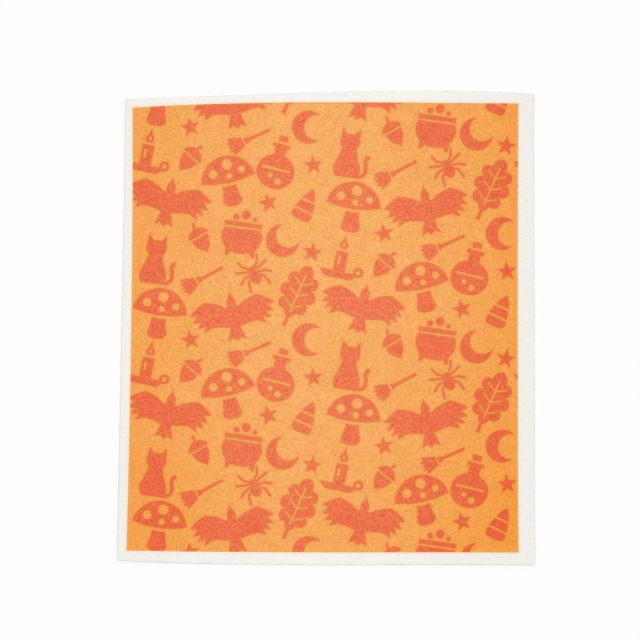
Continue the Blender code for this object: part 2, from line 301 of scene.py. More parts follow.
class Motif(Enum):
    """The motifs of the print, each with half its span and with its layers, laid down in turn."""

    TOADSTOOL = 0.0116, (
        (INK, Halves(((0, 0.05, 0), (0.24, 0.05, -0.10), (0.36, -0.80, 0.45), (0, -0.98, 0)))),
        (BARE, Patch(((-0.62, -0.10, 0), (0.62, -0.10, 0.26)))),
        (INK, Patch(((-1.0, 0, 0.86), (1.0, 0, 0.15)))),
        (BARE, Disc(-0.50, 0.28, 0.16, 0.16)),
        (BARE, Disc(0.06, 0.54, 0.19, 0.19)),
        (BARE, Disc(0.56, 0.26, 0.13, 0.13)),
        (BARE, Disc(0.06, 0.10, 0.11, 0.11)),
    )
    CROW = 0.0180, (
        (INK, Halves((
            (0, 0.50, 0), (0.04, 0.38, 0.2), (0.10, 0.28, 0.2), (0.09, 0.14, -0.25),
            (0.26, 0.22, 0.06), (0.62, 0.34, 0.10), (1.00, 0.10, 0.1), (0.84, 0.05, 0),
            (0.96, -0.10, 0.1), (0.78, -0.09, 0), (0.87, -0.25, 0.1), (0.69, -0.20, 0),
            (0.74, -0.36, 0.1), (0.56, -0.28, -0.1), (0.32, -0.30, 0.05), (0.12, -0.34, 0),
            (0.22, -0.66, 0), (0.09, -0.60, 0), (0, -0.68, 0),
        ))),
    )
    LEAF = 0.0138, (
        (INK, Halves((
            (0, 1.0, 0.42), (0.22, 0.68, 1.1), (0.32, 0.30, 1.2), (0.32, -0.12, 1.0),
            (0.18, -0.50, 0.2), (0.05, -0.70, 0), (0.06, -1.0, 0), (0, -1.0, 0),
        ))),
        (BARE, Strip(((0, -0.52, 0), (0, 0.72, 0)), 0.05)),
        (BARE_TWICE, Strip(((0, -0.38, 0), (0.30, -0.20, 0)), 0.04)),
        (BARE_TWICE, Strip(((0, 0, 0), (0.30, 0.18, 0)), 0.04)),
        (BARE_TWICE, Strip(((0, 0.36, 0), (0.30, 0.54, 0)), 0.04)),
    )
    CAT = 0.0106, (
        (INK, Halves((
            (0, 0.34, 0), (0.24, 0.34, -0.06), (0.52, -0.50, 0.22), (0.44, -0.96, 0),
            (0, -0.96, 0),
        ))),
        (INK, Disc(0, 0.44, 0.40, 0.34)),
        (INK_TWICE, Patch(((0.10, 0.70, 0), (0.35, 1.0, 0), (0.40, 0.48, 0)))),
        (INK, Strip((
            (0.20, -0.88, 0), (0.52, -0.88, -0.45), (0.76, -0.60, -0.12), (0.72, -0.34, 0.40),
            (0.86, -0.06, 0),
        ), 0.16)),
    )
    CAULDRON = 0.0100, (
        (INK, Patch((
            (-0.62, 0.34, 0), (0.62, 0.34, 0.25), (0.86, -0.12, 0.45), (0, -0.86, 0.45),
            (-0.86, -0.12, 0.25),
        ))),
        (INK_TWICE, Patch((
            (0.30, -0.62, 0), (0.66, -0.40, 0), (0.62, -0.98, 0), (0.50, -0.98, 0),
        ))),
        (BARE, Bar(-0.70, 0.70, 0.20, 0.28)),
        (INK, Bar(-0.80, 0.80, 0.28, 0.48)),
        (INK, Disc(-0.34, 0.66, 0.13, 0.13)),
        (INK, Disc(0.06, 0.80, 0.19, 0.19)),
        (INK, Disc(0.44, 0.64, 0.10, 0.10)),
    )
    FLASK = 0.0115, (
        (INK, Disc(0, -0.34, 0.70, 0.64)),
        (INK, Bar(-0.22, 0.22, 0, 0.62)),
        (INK, Bar(-0.32, 0.32, 0.56, 0.70)),
        (INK, Bar(-0.17, 0.17, 0.78, 1)),
        (BARE, Bar(-0.52, 0.52, -0.28, -0.20)),
        (BARE, Disc(-0.16, -0.52, 0.09, 0.09)),
        (BARE, Disc(0.16, -0.68, 0.12, 0.12)),
    )
    CANDLE = 0.0098, (
        (INK, Halves(((0, 1.0, -0.12), (0.18, 0.56, 0.55), (0, 0.36, 0)))),
        (INK, Patch(((-0.26, 0.24, 0.08), (0.26, 0.24, 0), (0.26, -0.62, 0), (-0.26, -0.62, 0)))),
        (BARE, Disc(0, 0.54, 0.05, 0.09)),
        (BARE, Bar(-0.14, -0.04, -0.30, 0.06)),
        (INK, Patch((
            (-0.82, -0.62, 0), (0.82, -0.62, 0.1), (0.56, -0.92, 0), (-0.56, -0.92, 0.1),
        ))),
        (INK, Disc(0.84, -0.52, 0.22, 0.22)),
        (BARE, Disc(0.84, -0.52, 0.10, 0.10)),
    )
    BROOM = 0.0098, (
        (INK, Strip(((0, 1.0, 0), (0, -0.10, 0)), 0.13)),
        (INK, Halves((
            (0, -0.04, 0), (0.10, -0.04, 0), (0.15, -0.24, 0.12), (0.38, -0.90, 0),
            (0.25, -0.84, 0), (0.18, -1.0, 0), (0.08, -0.88, 0), (0, -1.0, 0),
        ))),
        (BARE, Bar(-0.3, 0.3, -0.30, -0.23)),
    )
    SPIDER = 0.0074, (
        (INK, Disc(0, -0.22, 0.32, 0.40)),
        (INK, Disc(0, 0.26, 0.22, 0.19)),
        (INK_TWICE, Strip(((0.08, 0.26, 0), (0.46, 0.60, 0), (0.60, 0.98, 0)), 0.14)),
        (INK_TWICE, Strip(((0.08, 0.16, 0), (0.66, 0.34, 0), (0.98, 0.46, 0)), 0.14)),
        (INK_TWICE, Strip(((0.08, 0.06, 0), (0.66, -0.06, 0), (0.98, -0.30, 0)), 0.14)),
        (INK_TWICE, Strip(((0.08, -0.04, 0), (0.50, -0.36, 0), (0.62, -0.92, 0)), 0.14)),
    )
    MOON = 0.0070, (
        (INK, Disc(0, 0, 1, 1)),
        (BARE, Disc(0.46, 0.18, 0.76, 0.76)),
    )
    ACORN = 0.0070, (
        (INK, Halves(((0, 0.06, 0), (0.52, 0.06, 0.24), (0.10, -0.84, 0), (0, -1.0, 0)))),
        (BARE, Patch(((-0.64, 0.10, 0), (0.64, 0.10, 0.10)))),
        (INK, Patch(((-0.66, 0.16, 0.75), (0.66, 0.16, 0.06)))),
        (INK, Strip(((0, 0.58, 0.2), (0.12, 0.98, 0)), 0.16)),
    )
    CORN = 0.0070, (
        (INK, Halves((
            (0, 1, 0.3), (0.14, 0.92, 0.12), (0.62, -0.66, 0.38), (0.40, -0.94, 0.06),
            (0, -0.96, 0),
        ))),
        (BARE, Bar(-0.8, 0.8, -0.42, -0.30)),
        (BARE, Bar(-0.8, 0.8, 0.22, 0.34)),
    )
    STAR = 0.0042, (
        (INK, Star(5, 0.44)),
    )

    def __init__(self, reach: float, layers: tuple[tuple[Mark, Layer], ...]) -> None:
        """Keeps what the motif is drawn from.

        Args:
            reach: Half its span, in metres.
            layers: Its layers, each with what it does to those under it.
        """
        self.reach = reach
        self.layers = layers


# One repeat: each motif with its middle in millimetres across and up, and its tilt in degrees
REPEAT: tuple[tuple[Motif, float, float, float], ...] = (
    (Motif.TOADSTOOL, 14, 12, -8),
    (Motif.CROW, 45, 11.5, 10),
    (Motif.LEAF, 72, 18.5, -24),
    (Motif.BROOM, 32, 26, -62),
    (Motif.SPIDER, 54, 28, 25),
    (Motif.CAT, 12, 34, -8),
    (Motif.ACORN, 31, 43, 30),
    (Motif.STAR, 78.5, 37, -10),
    (Motif.CAULDRON, 49, 45, -8),
    (Motif.MOON, 66, 42, 20),
    (Motif.CORN, 76, 57, -25),
    (Motif.CROW, 18, 60, -12),
    (Motif.TOADSTOOL, 43, 68, 12),
    (Motif.STAR, 60, 58, 15),
    (Motif.FLASK, 64, 75, -14),
    (Motif.ACORN, 27, 77, -40),
    (Motif.STAR, 79, 74, 5),
    (Motif.CANDLE, 9, 80, -12),
    (Motif.STAR, 27, 90, 10),
    (Motif.BROOM, 52, 85, -66),
    (Motif.MOON, 77, 90, -25),
)


@dataclass(frozen=True)
class Figure:
    """One motif in its place on the cloth, with the ink crept a little into the pores."""

    motif: Motif
    place: Vector
    tilt: float
    stride: float = 0.0009
    creep_reach: float = 0.0013
    creep: float = 0.00016

    def shapes(self) -> list[tuple[Rows, bool]]:
        """Places the motif's layers.

        Returns:
            Each layer's outline, with whether it carries ink.
        """
        turn_x = Vector((math.cos(self.tilt), math.sin(self.tilt))) * self.motif.reach
        turn_y = Vector((-turn_x.y, turn_x.x))
        found = []
        for mark, layer in self.motif.layers:
            drawn = layer.outline()
            copies = [drawn]
            if mark.twice:
                copies.append([Vector((-p.x, p.y)) for p in reversed(drawn)])
            for copy in copies:
                placed = [self.place + turn_x * p.x + turn_y * p.y for p in copy]
                found.append((flat(self.crept(placed)), mark.inks))
        return found

    def crept(self, shape: Outline) -> Outline:
        """Makes the edge of a shape uneven.

        Args:
            shape: The shape's closed outline.

        Returns:
            The outline with more points on it, each moved a little.
        """
        found: Outline = []
        for start, end in pairs(shape):
            steps = max(1, round((end - start).length / self.stride))
            found += [start.lerp(end, step / steps) for step in range(steps)]
        return [ragged(point, self.creep_reach, self.creep) for point in found]


# The sheet


@dataclass(frozen=True)
class BowedOutline:
    """A closed outline, clockwise from its lower left, that drying has pulled out of square."""

    left: float
    right: float
    bottom: float
    top: float
    shifts: tuple[tuple[float, float], ...]
    bows: tuple[tuple[float, float], ...]
    radius: float
    edge_steps: int = 170
    corner_steps: int = 7
    round_handle: float = 0.55

    def points(self) -> Outline:
        """Draws the outline.

        Returns:
            Its points, with as many on each side as on any other.
        """
        square = (
            (self.left, self.bottom),
            (self.left, self.top),
            (self.right, self.top),
            (self.right, self.bottom),
        )
        corners = [Vector(corner) + Vector(shift) for corner, shift in zip(square, self.shifts)]
        edges = []
        for (start, end), (near, far) in zip(pairs(corners), self.bows):
            along = (end - start).normalized()
            out = Vector((-along.y, along.x))
            first, last = start + along * self.radius, end - along * self.radius
            third = (last - first) / 3
            handles = (first + third + out * near, last - third + out * far)
            edges.append(interpolate_bezier(first, *handles, last, self.edge_steps))
        found: Outline = []
        for (edge, following), corner in zip(pairs(edges), corners[1:] + corners[:1]):
            found += edge[:-1]
            if self.radius > 0:
                ends = (edge[-1], following[0])
                handles = [end.lerp(corner, self.round_handle) for end in ends]
                found += interpolate_bezier(ends[0], *handles, ends[1], self.corner_steps)[:-1]
        return found


class Face(Enum):
    """The finishes of the cloth, in the order of its material slots."""

    BORDER = 0
    GROUND = 1
    FIGURE = 2
    CUT_EDGE = 3
    UNDERSIDE = 4


@dataclass(frozen=True)
class BakeMap:
    """A map for baking, in which the printed face has most of the room."""

    name: str = "OFBake"
    margin: float = 0.01
    top_width: float = 0.70
    low_width: float = 0.26
    low_left: float = 0.725
    # The rim lies in four rows above the printed face, one for each side of the cloth
    rim_start: float = 0.84
    rim_row: float = 0.03
    band_height: float = 0.0016

    def lay(self, data: bpy.types.Mesh, outline: Outline, top: int, low: int) -> None:
        """Lays the map on the mesh of the cloth.

        Args:
            data: The mesh, its faces in the order upper, under, rim.
            outline: The cloth's outline, with a quarter of its points on each side.
            top: How many triangles the upper side has.
            low: How many the underside has.
        """
        places = np.empty(len(data.vertices) * 3)
        data.vertices.foreach_get("co", places)
        places = places.reshape(-1, 3)[:, :2]
        used = np.empty(len(data.loops), np.int32)
        data.loops.foreach_get("vertex_index", used)
        corner = places.min(axis=0)
        width = places.max(axis=0)[0] - corner[0]
        scale, low_scale = self.top_width / width, self.low_width / width
        top_loops, low_loops = np.split(places[used[: 3 * (top + low)]] - corner, [3 * top])
        pieces = [
            top_loops * scale + self.margin,
            low_loops * low_scale + (self.low_left, self.margin),
        ]
        sides = np.array([(end - start).length for start, end in pairs(outline)])
        sides = sides.reshape(4, -1) * scale
        ends = np.cumsum(sides, axis=1) + self.margin
        for band in range((len(data.polygons) - top - low) // len(outline)):
            highs = self.rim_start + self.rim_row * np.arange(4) - band * self.band_height
            high = np.broadcast_to(highs[:, None], sides.shape)
            lower = high - self.band_height
            corners = ((ends - sides, high), (ends, high), (ends, lower), (ends - sides, lower))
            pieces.append(np.stack([np.stack(pair, axis=-1) for pair in corners], axis=2))
        layer = data.uv_layers.new(name=self.name)
        flattened = np.concatenate([piece.ravel() for piece in pieces])
        layer.data.foreach_set("uv", flattened.astype(np.float32))


@dataclass
class PrintedCloth:
    """The cloth: a sheet with a cut edge, printed on its upper face."""

    width: float = 0.175
    length: float = 0.200
    thickness: float = 0.0018
    corner_radius: float = 0.0008
    edge_round: float = 0.0004
    border_left: float = 0.0042
    border_right: float = 0.0070
    border_top: float = 0.0044
    border_bottom: float = 0.0053
    repeat_width: float = 0.082
    repeat_height: float = 0.090
    curl_reach: float = 0.048
    # Heights of the corners, clockwise from the lower left
    lifts: tuple[float, float, float, float] = (0.0016, 0.0032, 0.0014, 0.0008)
    top_pitch: float = 0.00095
    bottom_pitch: float = 0.0021
    cut_reach: float = 0.0016
    cut_raggedness: float = 0.00012
    # How much further down the noise each ring of the cut edge lies
    cut_layer: float = 0.4
    # The turns of the rounded cut, in degrees, and the heights of the rings on its wall
    round_turns: tuple[float, ...] = (30, 60, 90)
    wall_shares: tuple[float, ...] = (0.67, 0.33)
    # Each wave of the relief: how far apart its swells are, and their height
    relief: tuple[tuple[float, float], ...] = (
        (0.011, 0.00006),
        (0.0034, 0.00005),
        (0.0019, 0.00004),
    )
    relief_layer: float = 5.3
    # How much further a motif may reach than half its span, at its corners
    reach_margin: float = 1.2
    edge_step: float = 0.00025
    furthest_edge: float = 3.0
    weld: float = 1e-5
    outline: Outline = field(default_factory=list)
    print_field: Outline = field(default_factory=list)

    def __post_init__(self) -> None:
        """Lays out the cut edge and the edge of the print round the middle of the cloth."""
        half_width, half_length = self.width / 2, self.length / 2
        cut = BowedOutline(
            -half_width,
            half_width,
            -half_length,
            half_length,
            shifts=((-0.0017, 0.0018), (0.0020, -0.0030), (-0.0003, -0.0008), (0.0002, -0.0002)),
            bows=((0.0001, 0.0001), (0.0011, 0.0045), (0.0001, 0.0001), (0.0002, 0.0025)),
            radius=self.corner_radius,
        ).points()
        inked = BowedOutline(
            self.border_left - half_width,
            half_width - self.border_right,
            self.border_bottom - half_length,
            half_length - self.border_top,
            shifts=((-0.0019, 0.0008), (0.0008, -0.0023), (0.0001, -0.0004), (0.0002, -0.0001)),
            bows=((-0.0008, -0.0008), (0.0030, 0.0010), (-0.0004, -0.0004), (0.0001, 0.0009)),
            radius=0,
        ).points()
        rows = flat(cut)
        middle = Vector((rows.min(axis=0) + rows.max(axis=0)) / 2)
        self.outline = [point - middle for point in cut]
        self.print_field = [point - middle for point in inked]

    def ring(self, inset: float, layer: float) -> Outline:
        """Follows the cut edge.

        Args:
            inset: How far inside the cut edge the ring runs.
            layer: Which of the ragged cut's layers it follows, from 0 at the top.

        Returns:
            The ring, with as many points as the outline.
        """
        found = []
        before, after = self.outline[-1:] + self.outline[:-1], self.outline[1:] + self.outline[:1]
        for previous, point, following in zip(before, self.outline, after):
            way = following - previous
            inward = Vector((way.y, -way.x)).normalized()
            tear = noise.noise(Vector((*(point / self.cut_reach), layer)))
            found.append(point + inward * (inset + tear * self.cut_raggedness))
        return found

    def lift(self, points: Rows) -> np.ndarray:
        """How far the sheet has curled up from the table.

        Args:
            points: Places on the cloth.

        Returns:
            The height of each place.
        """
        reach = flat(self.outline).max(axis=0)
        ends = ((-1, -1), (-1, 1), (1, 1), (1, -1))
        found = np.zeros(len(points))
        for end, height in zip(ends, self.lifts):
            from_corner = ((reach - points * end).sum(axis=1)) / math.sqrt(2)
            found += height * np.clip(1 - from_corner / self.curl_reach, 0, None) ** 2
        return found

    def swell(self, points: Rows) -> np.ndarray:
        """The low relief of the dried sponge.

        Args:
            points: Places on the cloth.

        Returns:
            How far each place stands above or below the even face.
        """
        found = np.zeros(len(points))
        for i, (x, y) in enumerate(points):
            for depth, (apart, height) in enumerate(self.relief):
                layer = self.relief_layer * depth
                found[i] += height * noise.noise(Vector((x / apart, y / apart, layer)))
        return found

    def spots(self, ring: Rows, pitch: float) -> Outline:
        """Spreads points over the inside of a ring.

        Args:
            ring: The ring.
            pitch: How far apart the points are.

        Returns:
            The points, in rows that are set off by half, clear of the ring.
        """
        low, high = ring.min(axis=0), ring.max(axis=0)
        columns, rows = np.ceil((high - low) / pitch).astype(int)
        across, up = np.meshgrid(np.arange(columns), np.arange(rows))
        places = np.stack(((across + 0.5 * (up % 2)).ravel(), up.ravel()), axis=1) * pitch + low
        inward = ring * (1 - pitch / np.abs(ring).max(axis=0))
        return [Vector(place) for place in places[inside(inward, places)]]

    def figures(self) -> list[Figure]:
        """Repeats the motifs over the print.

        Returns:
            The figures that reach into the print.
        """
        rows = flat(self.print_field)
        (left, bottom), (right, top) = rows.min(axis=0), rows.max(axis=0)
        found = []
        for column in range(-1, math.ceil((right - left) / self.repeat_width) + 1):
            drop = self.repeat_height / 2 if column % 2 else 0
            for row in range(-2, math.ceil((top - bottom) / self.repeat_height) + 1):
                origin = Vector(
                    (left + column * self.repeat_width, bottom + row * self.repeat_height + drop)
                )
                for motif, across, up, tilt in REPEAT:
                    place = origin + Vector((across, up)) * MILLIMETRE
                    reach = motif.reach * self.reach_margin
                    near_x = left - reach < place.x < right + reach
                    if near_x and bottom - reach < place.y < top + reach:
                        found.append(Figure(motif, place, math.radians(tilt)))
        return found

    def clipped(self, shape: Rows) -> list[tuple[Vector, Vector]]:
        """Cuts a printed shape off at the edge of the print.

        Args:
            shape: The shape's closed outline.

        Returns:
            The stretches of its outline that lie inside the print.
        """
        printed = inside(flat(self.print_field), shape)
        if not printed.any():
            return []
        found = []
        edge = pairs(self.print_field)
        for (start, starts_in), (end, ends_in) in pairs(list(zip(map(Vector, shape), printed))):
            if starts_in and ends_in:
                found.append((start, end))
            elif starts_in != ends_in:
                crossings = (intersect_line_line_2d(start, end, a, b) for a, b in edge)
                crossing = next((point for point in crossings if point), None)
                if crossing:
                    found.append((start, crossing) if starts_in else (crossing, end))
        return found

    def filled(
        self, ring: Outline, lines: list[tuple[Vector, Vector]], spots: Outline
    ) -> tuple[Rows, np.ndarray, list[int]]:
        """Fills a ring with triangles.

        Args:
            ring: The ring.
            lines: Lines inside it that have to be edges.
            spots: Points inside it that have to be corners.

        Returns:
            The points, the corners of each triangle with its face up, and the
            place of each of the ring's points among the points.
        """
        points = list(ring)
        edges = pairs(range(len(ring)))
        for start, end in lines:
            edges.append((len(points), len(points) + 1))
            points += [start, end]
        points += spots
        found, _, faces, sources, _, _ = delaunay_2d_cdt(points, edges, [], 0, self.weld, True)
        place_of = {source: i for i, group in enumerate(sources) for source in group}
        rows, corners = flat(found), np.array(faces)
        corners = corners[inside(flat(ring), rows[corners].mean(axis=1))]
        a, b, c = (rows[corners[:, i]] for i in range(3))
        turned = (b - a)[:, 0] * (c - a)[:, 1] < (b - a)[:, 1] * (c - a)[:, 0]
        corners[turned] = corners[turned][:, ::-1]
        return rows, corners, [place_of[i] for i in range(len(ring))]

    def inked(self, middles: Rows, figures: list[list[tuple[Rows, bool]]]) -> np.ndarray:
        """Sorts the triangles of the upper face by what is printed on them.

        Args:
            middles: The middle of each triangle.
            figures: The shapes of each figure, in the order they are laid down.

        Returns:
            The material slot of each triangle.
        """
        on_figure = np.zeros(len(middles), bool)
        for shapes in figures:
            corners = np.concatenate([shape for shape, _ in shapes])
            low, high = corners.min(axis=0), corners.max(axis=0)
            near = np.flatnonzero(((middles > low) & (middles < high)).all(axis=1))
            laid = np.zeros(len(near), bool)
            for shape, has_ink in shapes:
                laid[inside(shape, middles[near])] = has_ink
            on_figure[near] |= laid
        found = np.full(len(middles), Face.BORDER.value)
        printed = inside(flat(self.print_field), middles)
        found[printed] = Face.GROUND.value
        found[printed & on_figure] = Face.FIGURE.value
        return found

    def edge_distances(
        self, points: Rows, triangles: np.ndarray, first: np.ndarray, second: np.ndarray
    ) -> np.ndarray:
        """Measures how far each point is from where two kinds of triangle meet.

        Args:
            points: The points.
            triangles: The corners of each triangle.
            first: True for each triangle of the one kind.
            second: True for each triangle of the other kind.

        Returns:
            The distances in millimetres, none above furthest_edge.
        """
        sides = np.concatenate([triangles[:, [0, 1]], triangles[:, [1, 2]], triangles[:, [2, 0]]])
        sides.sort(axis=1)
        keys = sides[:, 0].astype(np.int64) * len(points) + sides[:, 1]
        shared = np.intersect1d(keys[np.tile(first, 3)], keys[np.tile(second, 3)])
        starts, ends = points[shared // len(points)], points[shared % len(points)]
        marks = []
        for start, end in zip(starts, ends):
            steps = max(1, math.ceil(np.hypot(*(end - start)) / self.edge_step))
            marks += [start + (end - start) * step / steps for step in range(steps)]
        tree = KDTree(len(marks))
        for i, (x, y) in enumerate(marks):
            tree.insert((x, y, 0), i)
        tree.balance()
        nearest = [tree.find((x, y, 0))[2] for x, y in points]
        return np.clip(np.array(nearest) / MILLIMETRE, 0, self.furthest_edge)

    def rim_profile(self) -> list[tuple[float, float, float]]:
        """The section of the cut edge.

        Returns:
            For each ring from just under the upper face to just over the
            underside: its inset, its height and its layer of the ragged cut.
        """
        turns = [math.radians(turn) for turn in self.round_turns]
        rounded = [
            ((1 - math.sin(turn)) * self.edge_round, (1 - math.cos(turn)) * self.edge_round)
            for turn in turns
        ]
        upper = [(inset, self.thickness - drop) for inset, drop in rounded]
        wall = self.thickness - 2 * self.edge_round
        between = [(0.0, self.edge_round + wall * share) for share in self.wall_shares]
        rings = upper + between + rounded[::-1]
        return [
            (inset, height, self.cut_layer * (i + 1)) for i, (inset, height) in enumerate(rings)
        ]

    def mesh(self) -> bpy.types.Mesh:
        """Builds the sheet.

        Returns:
            The closed mesh, its faces sorted by finish, with the distances to
            the edges of the print on its points and a map for baking.
        """
        ring = self.ring(self.edge_round, 0)
        shapes = [figure.shapes() for figure in self.figures()]
        lines = pairs(self.print_field)
        for shape, _ in (pair for figure in shapes for pair in figure):
            lines += self.clipped(shape)
        top, top_faces, top_ring = self.filled(ring, lines, self.spots(flat(ring), self.top_pitch))
        slots = self.inked(top[top_faces].mean(axis=1), shapes)
        low, low_faces, low_ring = self.filled(ring, [], self.spots(flat(ring), self.bottom_pitch))

        printed = slots != Face.BORDER.value
        figure_edge = self.edge_distances(
            top, top_faces, slots == Face.FIGURE.value, slots == Face.GROUND.value
        )
        field_edge = self.edge_distances(top, top_faces, printed, ~printed)

        profile = self.rim_profile()
        rings = [flat(self.ring(inset, layer)) for inset, _, layer in profile]
        heights = [np.full(len(ring), height) for _, height, _ in profile]
        flats = np.concatenate([top, *rings, low])
        rises = np.concatenate(
            [self.thickness + self.swell(top), *heights, np.abs(self.swell(low)) / 2]
        )
        corners = np.column_stack((flats, rises + self.lift(flats)))

        count = len(ring)
        low_start = len(top) + count * len(rings)
        loops = [np.array(top_ring)]
        loops += [len(top) + count * i + np.arange(count) for i in range(len(rings))]
        loops.append(low_start + np.array(low_ring))
        walls = [
            np.column_stack((above, np.roll(above, -1), np.roll(below, -1), below))
            for above, below in zip(loops, loops[1:])
        ]
        faces = top_faces.tolist() + (low_faces[:, ::-1] + low_start).tolist()
        faces += np.concatenate(walls).tolist()
        cut = np.full(count * len(walls), Face.CUT_EDGE.value)
        under = np.full(len(low_faces), Face.UNDERSIDE.value)
        slots = np.concatenate([slots, under, cut])

        data = bpy.data.meshes.new("printed_cloth")
        data.from_pydata(corners.tolist(), [], faces)
        data.polygons.foreach_set("material_index", slots.astype(np.int32))
        rest = np.full(len(corners) - len(top), self.furthest_edge)
        for name, distances in (("figure_edge", figure_edge), ("field_edge", field_edge)):
            layer = data.attributes.new(name, "FLOAT", "POINT")
            layer.data.foreach_set("value", np.concatenate([distances, rest]).astype(np.float32))
        BakeMap().lay(data, self.outline, len(top_faces), len(low_faces))
        data.shade_smooth()
        data.update()
        return data

    def build(self, finishes: Sequence[bpy.types.Material]) -> bpy.types.Object:
        """Makes the piece and sets it in the frame.

        Args:
            finishes: The materials, in the order of Face.

        Returns:
            The piece.
        """
        piece = bpy.data.objects.new("printed_cloth", self.mesh())
        bpy.context.scene.collection.objects.link(piece)
        for finish in finishes:
            piece.data.materials.append(finish)
        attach(piece, "root")
        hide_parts("sponge_cloth")
        LOG.info("%s: %d faces", piece.name, len(piece.data.polygons))
        return piece


# The finishes

# Painted sheen of the overhead light: the spot where it makes the cloth palest, and how far from
# there the painted shade has plainly darkened it
PAINTED_SHEEN_SPOT = (-0.0065, 0.030)
PAINTED_SHEEN_REACH = (0.0815, 0.1620)
# How that painted shade drifts, how far apart its swells are and where it shows, in sponge and inks
DRIFT: Ramp = (0.3, 0.7, -0.15, 0.15)
SPONGE_DRIFT, INK_DRIFT = 26, 24
SPONGE_PAINTED_SHADE: Ramp = (0.5, 1.4, 0, 1)
INK_PAINTED_SHADE: Ramp = (0, 1.55, 0, 1)

# The detail of a noise without finer grain
SMOOTH = 1

# The faint ribs that the knife left, and how close they are along each axis
RIB_SIZE = 2.2
RIBS: Ramp = (0.4, 0.75, 0, 0.3)
RIB_STRETCH: Colour = (1, 0.06, 1)
# How open the sponge is, how deep its pores are, the share of the narrow ones, and by depth where
# the painted shade in the pores starts and is full
SPONGE_GRAIN = 0.9
OPEN: Ramp = (0.38, 0.6, 0.1, 1)
NARROW = 0.45
PORE_DEPTHS = (1.0, 0.6)
PORE_EDGE = 0.5
PORE_SHADE = (0.12, 0.85)
# How far the ink tints the bare border, in millimetres
FRINGE: Ramp = (0.15, 1.3, 1, 0)

# Where the ink is thin, in broad and in small patches
THIN_SIZES = (6.5, 1.3)
THIN: Ramp = (0.47, 0.70, 0, 0.5)
# The two noises of the grain, what each adds to it, and how far from its middle it is strongest;
# the fine noise is also the fine relief, so the grain's light and dark specks are partly painted
# light and shade on that relief
MOTTLE_SIZE, FINE_SIZE, FINE_DETAIL = 3.4, 1.0, 1.5
MOTTLE_PART, FINE_PART = 0.06, 0.94
GRAIN_MIDDLE, GRAIN_REACH = 0.5, 0.26
# The pale dots where a pore took no ink
DOT_SIZE = 2.4
DOT_EDGE: Ramp = (0.08, 0.17, 1, 0)
DOT_SHARE: Ramp = (0.50, 0.62, 0, 0.35)
# The patches that are redder, and those that are yellower
PATCH: Ramp = (0.35, 0.65, 0, 1)
RUDDY_SIZES, SALLOW_SIZES = (2.3, 5.2), (2.7, 4.4)
# The few stray plant fibres in the sponge
FLECK: Colour = (0.60, 0.17, 0.03)
FLECK_APART = 42
FLECK_EDGE: Ramp = (0.005, 0.010, 0.75, 0)


